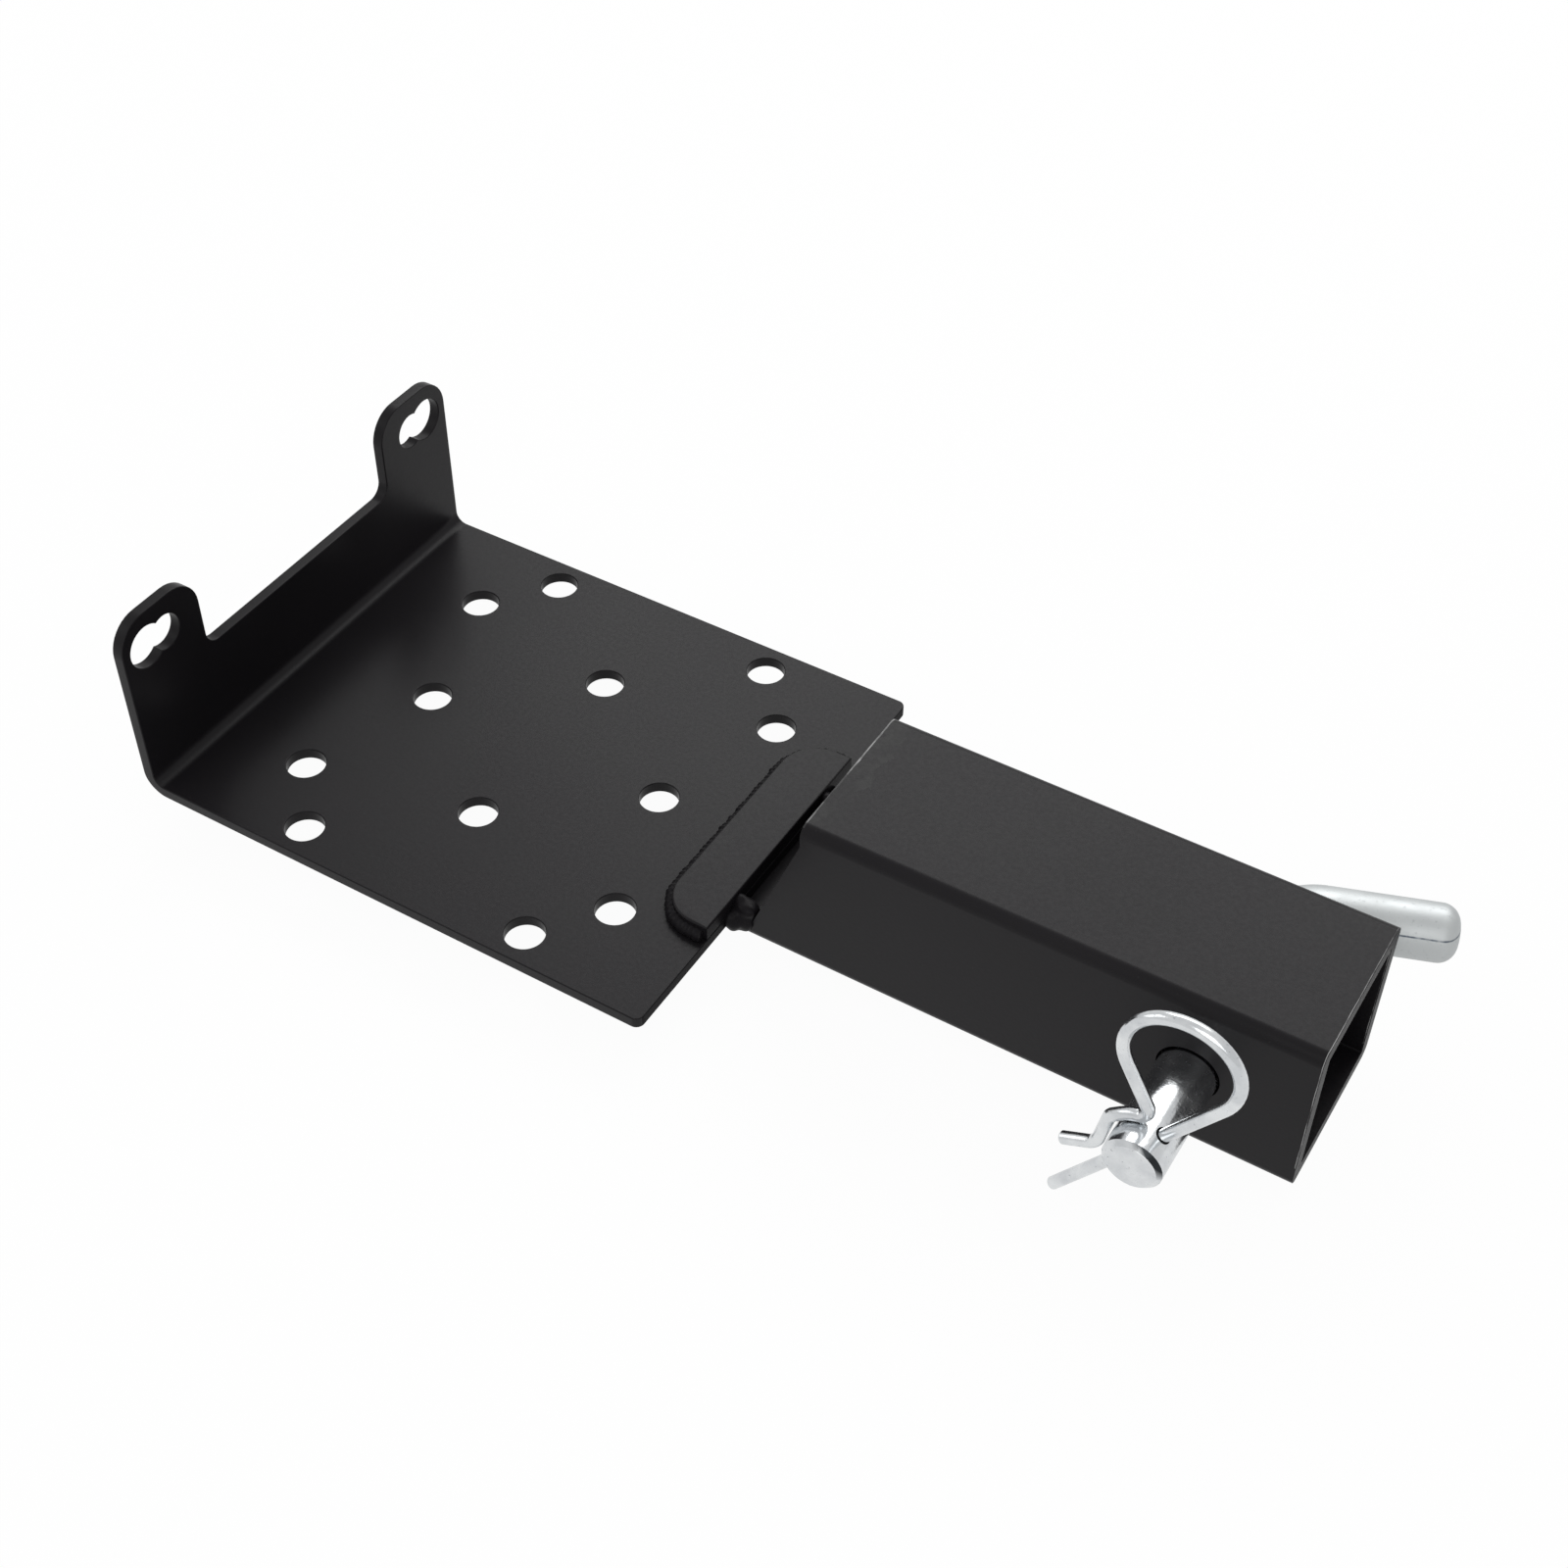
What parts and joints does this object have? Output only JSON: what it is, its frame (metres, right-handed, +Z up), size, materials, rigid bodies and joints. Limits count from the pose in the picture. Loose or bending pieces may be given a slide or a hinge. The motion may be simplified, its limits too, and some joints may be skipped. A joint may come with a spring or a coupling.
{
  "type": "hitch winch mount",
  "caption": "Folded drilled winch plate with two fairlead ears, welded to a square receiver tube that carries a bent hitch pin and its hairpin clip.",
  "frame": {"origin": "centre of the main bolt pattern on the plate's top face", "axes": "+X along the tube to its open end, +Y across the plate to the side of the hitch pin's bent handle, +Z up, out of the plate's top face"},
  "size_m": [0.3448, 0.143, 0.0825],
  "materials": {
    "powder_coat": "satin black powder coat",
    "coated_weld": "weld bead under black powder coat",
    "zinc": "bright zinc plating"
  },
  "bodies": {
    "mount": {"mounting_plate": "powder_coat", "receiver_tube": "powder_coat", "reinforcing_strip": "powder_coat", "strip_weld": "coated_weld", "tongue_weld": "coated_weld", "toe_weld_front": "coated_weld", "toe_weld_back": "coated_weld"},
    "pin": {"hitch_pin": "zinc"},
    "clip": {"hairpin_clip": "zinc"}
  },
  "joints": [
    {"name": "pin_slide", "type": "slide", "parent": "mount", "child": "pin", "axis": [0, 1, 0], "range_m": [-0.002, 0.023]},
    {"name": "clip_pull", "type": "slide", "parent": "pin", "child": "clip", "axis": [0.5592, 0, 0.829], "range_m": [0, 0.046], "deforming": ["hairpin_clip"]}
  ]
}
